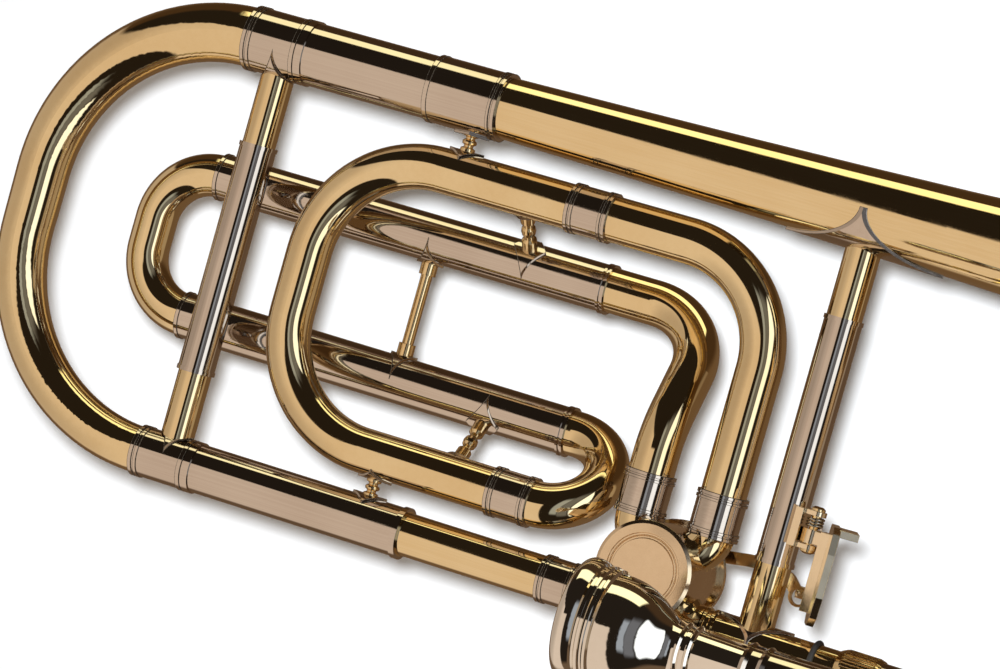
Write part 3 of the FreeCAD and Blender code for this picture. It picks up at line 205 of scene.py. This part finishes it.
brass_x = metal("brass_drawn_lengthwise", *BRASS, POLISHED, ALONG_X, 0.05, 0.45, coat=0.5)
brass_y = metal("brass_drawn_crosswise", *BRASS, POLISHED, ALONG_Y, 0.05, 0.45, coat=0.5)
brass_bend = metal("brass_buffed_bend", *BRASS, (0.025, 0.06), ROUND, 0.02, 0.2, coat=0.5)
brass_satin = metal("brass_satin", rgb(0.92, 0.76, 0.55), rgb(0.83, 0.67, 0.47), (0.11, 0.16),
                    ROUND, 0.06, 0.3, edge=0.0002)
brass_lever = metal("brass_lever", rgb(0.97, 0.84, 0.62), rgb(0.89, 0.75, 0.53), (0.07, 0.13),
                    ROUND, 0.05, 0.3, coat=0.3, edge=0.0003)
brass_machined = metal("brass_turned_gold", rgb(0.95, 0.77, 0.46), rgb(0.86, 0.64, 0.34), (0.06, 0.12),
                       ROUND, 0.05, 0.35, coat=0.3, edge=0.0002)
nickel_x = metal("nickel_silver_drawn_lengthwise", *NICKEL, POLISHED, ALONG_X, 0.05, 0.45)
nickel_y = metal("nickel_silver_drawn_crosswise", *NICKEL, POLISHED, ALONG_Y, 0.05, 0.45)
nickel_bend = metal("nickel_silver_buffed", *NICKEL, POLISHED, ROUND, 0.03, 0.3)
nickel_edged = metal("nickel_silver_machined", *NICKEL, (0.05, 0.11), ROUND, 0.04, 0.3, edge=0.00015)
chrome = metal("chromed_tube", rgb(0.72, 0.73, 0.75), rgb(0.62, 0.63, 0.66), (0.03, 0.08),
               ALONG_X, 0.04, 0.5)
silver = metal("silver_plate", rgb(0.93, 0.91, 0.87), rgb(0.86, 0.83, 0.78), (0.02, 0.05),
               ROUND, 0.015, 0.2)
steel = metal("spring_steel", rgb(0.66, 0.65, 0.63), rgb(0.48, 0.47, 0.46), (0.12, 0.22), ROUND, 0.1, 0.4)
black_rubber = rubber("black_rubber")
slide_cork = cork("pressed_cork")
# painted shade: this dark solder draws the shaded outlines of the kites and ferrules
solder_and_painted_shade = solder("solder_and_painted_seam_shade")

MATERIAL_OF = {
    brass_x: ["bell", "gooseneck", "neckpipe"],
    brass_bend: ["main_tuning_bow", "f_loop_front_bend", "f_loop_back_bend", "f_return_bend", "f_crook",
                 "f_tuning_bow", "bell_rim_wire", "valve_knuckles"],
    brass_y: ["tuning_brace_sockets", "bell_brace_sockets"],
    brass_satin: ["valve_casing", "valve_front_cap", "valve_bearing_plates", "valve_stop_arm"],
    brass_lever: ["trigger_bracket", "trigger_lever", "thumb_paddle", "valve_link"],
    brass_machined: ["lock_nut", "f_loop_posts", "trigger_axle", "rotor", "slide_lock_ring",
                     "water_key_lever", "water_key_saddle"],
    nickel_x: ["main_leg_ferrules", "main_upper_outer_tube", "main_lower_outer_tube", "f_outer_slide_tubes",
               "f_loop_ferrules", "main_tuning_ferrules", "f_tuning_ferrules", "outer_slide_tubes",
               "outer_slide_collars", "slide_receiver", "mouthpiece_receiver", "cork_barrels",
               "slide_bow_fittings"],
    nickel_y: ["bell_brace_sleeve", "tuning_brace_sleeve"],
    nickel_bend: ["slide_bow"],
    nickel_edged: ["f_loop_flanges", "bell_brace_flanges", "tuning_brace_flanges", "stop_arm_screw",
                   "inner_slide_brace", "outer_slide_brace"],
    chrome: ["inner_slide_tubes", "main_tuning_inner_tubes", "f_tuning_inner_tubes"],
    silver: ["mouthpiece"],
    steel: ["trigger_return_spring"],
    black_rubber: ["neckpipe_rubber_ring", "slide_bumper", "valve_stop_bumpers"],
    slide_cork: ["slide_corks", "water_key_cork"],
}


def dress():
    """Give every CAD node its material."""
    worn = {name: material for material, names in MATERIAL_OF.items() for name in names}
    for name, obj in nodes.items():
        if name not in worn:
            raise ValueError("no material for " + name)
        for slot in obj.material_slots:
            slot.material = worn[name]


# ---------------------------------------------------------------- solder seams and painted edge shade

SHARP_ANGLE = 0.9           # radians between two faces, from which an edge gets a seam
SEAM_THICKNESS = 0.00014

BODY_OF_FITTED = {
    "f_loop_flanges": "bell_section",
    "bell_brace_flanges": "bell_section",
    "tuning_brace_flanges": "main_tuning_slide",
    "f_loop_ferrules": "bell_section",
    "main_leg_ferrules": "bell_section",
    "main_tuning_ferrules": "main_tuning_slide",
    "f_tuning_ferrules": "f_tuning_slide",
}


def sharp_lines(name):
    """The sharp edges of a CAD node as lists of points, with whether each list closes on itself."""
    source = nodes[name]
    shape = bmesh.new()
    shape.from_mesh(source.data)
    bmesh.ops.remove_doubles(shape, verts=shape.verts, dist=1e-6)
    left = {edge for edge in shape.edges
            if len(edge.link_faces) == 2 and edge.calc_face_angle(0.0) > SHARP_ANGLE}
    lines = []
    for first in sorted(left, key=lambda edge: edge.index):
        if first not in left:
            continue
        left.discard(first)
        chain = list(first.verts)
        for end in (-1, 0):
            while True:
                here = chain[end]
                onward = [edge for edge in here.link_edges if edge in left]
                if len(onward) != 1:
                    break
                left.discard(onward[0])
                step = onward[0].other_vert(here)
                chain.insert(len(chain) if end else 0, step)
        closed = chain[0] is chain[-1] and len(chain) > 3
        points = chain[:-1] if closed else chain
        lines.append(([source.matrix_world @ vert.co for vert in points], closed))
    shape.free()
    return lines


def make_seam(name, body):
    """A dark hairline along every sharp edge of a fitted piece: solder, whose darkness is painted shade
    along the edge.
    """
    curve = bpy.data.curves.new(name + "_seam", "CURVE")
    curve.dimensions = "3D"
    curve.bevel_depth = SEAM_THICKNESS / 2.0
    curve.bevel_resolution = 1
    for points, closed in sharp_lines(name):
        spline = curve.splines.new("POLY")
        spline.points.add(len(points) - 1)
        for spot, point in zip(spline.points, points):
            spot.co = (*point, 1.0)
        spline.use_cyclic_u = closed
    # painted shade: the dark solder colour paints the shade along each sharp edge
    curve.materials.append(solder_and_painted_shade)
    seam = bpy.data.objects.new(name + "_seam", curve)
    bpy.context.scene.collection.objects.link(seam)
    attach(seam, body)


dress()
for fitted, fitted_body in BODY_OF_FITTED.items():
    make_seam(fitted, fitted_body)


# ---------------------------------------------------------------- studio

ANY = 2.0                   # past the end of every direction's range, so no limit on that side
KEY_SIZE = 0.085
KEY_ENERGY = 27.0
KEY_ABOVE_EYE = 0.055
KEY_LEFT_OF_EYE = 0.030
KEY_AIM_DISTANCE = 1.4
FLOOR_RADIUS = 20.0
FLOOR_GAP = 0.0005          # between the floor and the trombone's lowest point
EYE = Vector((0.39095, 0.13014, 1.38618))
EYE_RIGHT = Vector((0.9012, 0.2716, -0.3377))
EYE_BACK = Vector((0.3402, 0.0394, 0.9395))
LENS = 162.0
SENSOR = 36.0


def make_world():
    """A warm softbox, a yellow strip light, smaller white and grey panels and dark walls, by direction."""
    world = bpy.data.worlds.new("studio")
    bpy.context.scene.world = world
    g = Graph(world)
    way = g.add("ShaderNodeSeparateXYZ")
    g.feed(way.inputs[0], g.add("ShaderNodeTexCoord").outputs["Generated"])
    x, y, z = way.outputs

    def window(*limits):
        """1 inside the given limits of direction, 0 outside: (value, low, high, softness) each."""
        mask = None
        for value, low, high, soft in limits:
            side = g.ramp(value, low - soft, low + soft)
            far = g.ramp(value, high - soft, high + soft, 1.0, 0.0)
            part = g.math("MULTIPLY", side, far)
            mask = part if mask is None else g.math("MULTIPLY", mask, part)
        return mask

    ground = g.mix(g.ramp(y, 0.25, 0.60), rgb(0.150, 0.092, 0.052), rgb(0.060, 0.032, 0.014))
    walls = g.mix(g.ramp(z, -0.12, 0.10), ground, rgb(0.018, 0.013, 0.009))
    # the big softbox hangs askew: its upper edge climbs towards the far left, where it is also dimmer
    step = g.ramp(x, -0.38, -0.30, 0.19, 0.0)
    slope = g.ramp(x, -1.0, -0.38, 0.28, 0.0, smooth=False)
    climb = g.math("ADD", step, slope)
    below_edge = g.math("SUBTRACT", y, climb)
    glow = g.ramp(x, -0.90, -0.05, 0.66, 1.22)
    softbox_light = g.mix(glow, rgb(0.0, 0.0, 0.0), rgb(0.74, 0.59, 0.46))
    softbox = window((below_edge, -ANY, 0.09, 0.025), (x, -ANY, 0.03, 0.02), (z, -0.35, ANY, 0.12))
    strip = window((z, -0.20, 0.20, 0.03), (y, 0.55, ANY, 0.05), (x, -0.45, 0.35, 0.03))
    side = window((x, 0.66, 0.88, 0.02), (y, -0.7, 0.75, 0.05), (z, 0.30, ANY, 0.05))
    dull = window((x, 0.43, 0.63, 0.02), (y, -0.7, 0.6, 0.1), (z, 0.45, ANY, 0.1))
    top = window((x, 0.27, 0.42, 0.02), (y, -0.6, 0.5, 0.1), (z, 0.6, ANY, 0.1))
    low_right = window((x, 0.88, ANY, 0.02), (z, -ANY, 0.2, 0.05))
    light = walls
    for mask, colour in (
        (low_right, rgb(0.36, 0.27, 0.18)),
        (top, rgb(0.36, 0.39, 0.43)),
        (dull, rgb(0.16, 0.16, 0.17)),
        (side, rgb(1.35, 1.40, 1.42)),
        (strip, rgb(1.55, 1.40, 0.80)),
        (softbox, softbox_light),
    ):
        light = g.mix(mask, light, colour)
    seen = g.add("ShaderNodeLightPath").outputs["Is Camera Ray"]
    backdrop = g.mix(g.ramp(z, 0.0, 0.9), rgb(0.93, 0.93, 0.94), rgb(0.80, 0.82, 0.85))
    shade = g.add("ShaderNodeBackground")
    g.feed(shade.inputs[0], g.mix(seen, light, backdrop))
    out = g.add("ShaderNodeOutputWorld")
    g.feed(out.inputs[0], shade.outputs[0])


def make_floor(level):
    """A pale sweep under the trombone. Polished metal doesn't mirror it, as with a flagged table."""
    made = bmesh.new()
    bmesh.ops.create_circle(made, cap_ends=True, radius=FLOOR_RADIUS, segments=96)
    mesh = bpy.data.meshes.new("floor")
    made.to_mesh(mesh)
    made.free()
    floor = bpy.data.objects.new("floor", mesh)
    floor.location = (0.3, 0.07, level)
    bpy.context.scene.collection.objects.link(floor)
    floor.visible_glossy = False
    material, g, where = new_material("floor_paper")
    colour = g.mix(g.noise(where, 300.0), rgb(0.84, 0.87, 0.90), rgb(0.86, 0.89, 0.92))
    g.surface(colour, 0.9, fixed=(("Specular IOR Level", 0.0),))
    mesh.materials.append(material)


def make_key_light(place, target):
    """A round lamp just above the camera, so that each tube's shadow shows as a soft rim beside it."""
    lamp = bpy.data.lights.new("key", "AREA")
    lamp.shape = "DISK"
    lamp.size = KEY_SIZE
    lamp.energy = KEY_ENERGY
    lamp.color = (0.97, 0.985, 1.0)
    key = bpy.data.objects.new("key", lamp)
    key.location = place
    key.rotation_mode = "QUATERNION"
    key.rotation_quaternion = (target - place).to_track_quat("-Z", "Y")
    key.visible_glossy = False
    key.visible_camera = False
    bpy.context.scene.collection.objects.link(key)


def make_camera():
    """The camera, and the three directions it stands by."""
    right = EYE_RIGHT.normalized()
    back = (EYE_BACK - right * EYE_BACK.dot(right)).normalized()
    up = back.cross(right)
    data = bpy.data.cameras.new("camera")
    data.sensor_width = SENSOR
    data.lens = LENS
    data.clip_start = 0.05
    data.clip_end = 60.0
    camera = bpy.data.objects.new("camera", data)
    camera.matrix_world = Matrix.Translation(EYE) @ Matrix((right, up, back)).transposed().to_4x4()
    bpy.context.scene.collection.objects.link(camera)
    bpy.context.scene.camera = camera
    return right, up, back


right, up, back = make_camera()
make_world()
make_floor(cad_box[0].z - FLOOR_GAP)
make_key_light(EYE + up * KEY_ABOVE_EYE - right * KEY_LEFT_OF_EYE, EYE - back * KEY_AIM_DISTANCE)
bpy.context.scene.view_settings.view_transform = "Standard"
